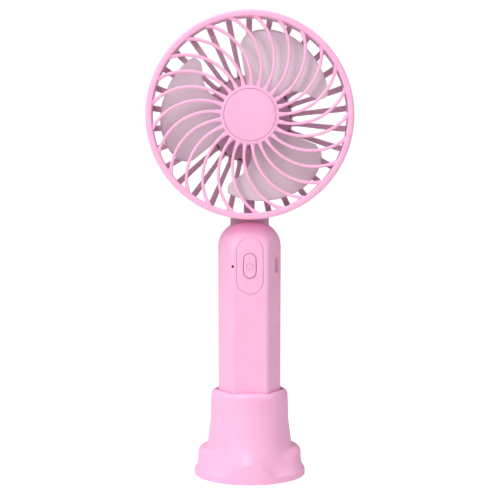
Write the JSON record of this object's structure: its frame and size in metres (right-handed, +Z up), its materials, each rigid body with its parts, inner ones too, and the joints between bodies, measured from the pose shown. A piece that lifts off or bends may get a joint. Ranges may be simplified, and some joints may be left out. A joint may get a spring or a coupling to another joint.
{
  "type": "handheld electric fan with desk stand",
  "caption": "Battery hand fan with a round caged head, curved front spokes, hexagonal push-button handle, and a flared round stand it lifts out of.",
  "frame": {"origin": "centre of the stand's foot, on the table", "axes": "+Z up along the handle, -Y out of the front grille, +X to the viewer's right when facing the front"},
  "size_m": [0.1002, 0.0552, 0.2269],
  "materials": {
    "pink_plastic": "satin",
    "dusky_pink_plastic": "satin",
    "pale_blade_plastic": "satin, slightly milky",
    "dark_plastic": "satin",
    "white_plastic": "satin",
    "lens_plastic": "clear smoky",
    "rubber_grey": "matte",
    "foam_black": "matte foam",
    "zinc_steel": "zinc plated",
    "cast_ballast": "rough",
    "bronze": "oiled",
    "copper_wire": "enamelled",
    "ferrite": "matte",
    "board_green": "solder mask",
    "cell_wrap": "shrink film over a steel can",
    "red_insulation": "satin",
    "black_insulation": "satin"
  },
  "bodies": {
    "stand": {"stand_shell": "pink_plastic", "socket_pad": "rubber_grey", "ballast_weight": "cast_ballast", "stand_bottom_plate": "pink_plastic", "stand_screws": "zinc_steel", "non_slip_pad": "rubber_grey"},
    "fan": {"handle_front_shell": "pink_plastic", "handle_rear_shell": "pink_plastic", "shell_screws": "zinc_steel", "handle_bottom_cap": "pink_plastic", "button_panel": "pink_plastic", "tact_switch": "dark_plastic", "light_pipe": "lens_plastic", "light_chip": "white_plastic", "circuit_board": "board_green", "board_screws": "zinc_steel", "control_chip": "dark_plastic", "usb_socket_shell": "zinc_steel", "usb_tongue": "dark_plastic", "battery_cell": "cell_wrap", "battery_tabs": "zinc_steel", "foam_pads": "foam_black", "battery_lead_red": "red_insulation", "battery_lead_black": "black_insulation", "motor_lead_red": "red_insulation", "motor_lead_black": "black_insulation", "head_rim": "pink_plastic", "rear_grille": "dusky_pink_plastic", "motor_cup": "dusky_pink_plastic", "front_grille": "pink_plastic", "center_badge": "pink_plastic", "motor_can": "zinc_steel", "motor_end_cap": "white_plastic", "motor_terminals": "copper_wire", "motor_bushings": "bronze", "motor_magnets": "ferrite"},
    "button": {"power_button": "pink_plastic", "tact_plunger": "dark_plastic"},
    "rotor": {"impeller": "pale_blade_plastic", "motor_shaft": "zinc_steel", "rotor_core": "zinc_steel", "rotor_windings": "copper_wire", "commutator": "copper_wire"}
  },
  "joints": [
    {"name": "lift_off", "type": "slide", "parent": "stand", "child": "fan", "axis": [0, 0, 1], "range_m": [0, 0.036]},
    {"name": "button_press", "type": "slide", "parent": "fan", "child": "button", "axis": [0, 1, 0], "range_m": [0, 0.0004], "stiffness_N_per_m": 500, "springref_m": -0.001},
    {"name": "impeller_spin", "type": "hinge", "parent": "fan", "child": "rotor", "pos_m": [0, 0, 0.1768], "axis": [0, 1, 0], "continuous": true}
  ]
}
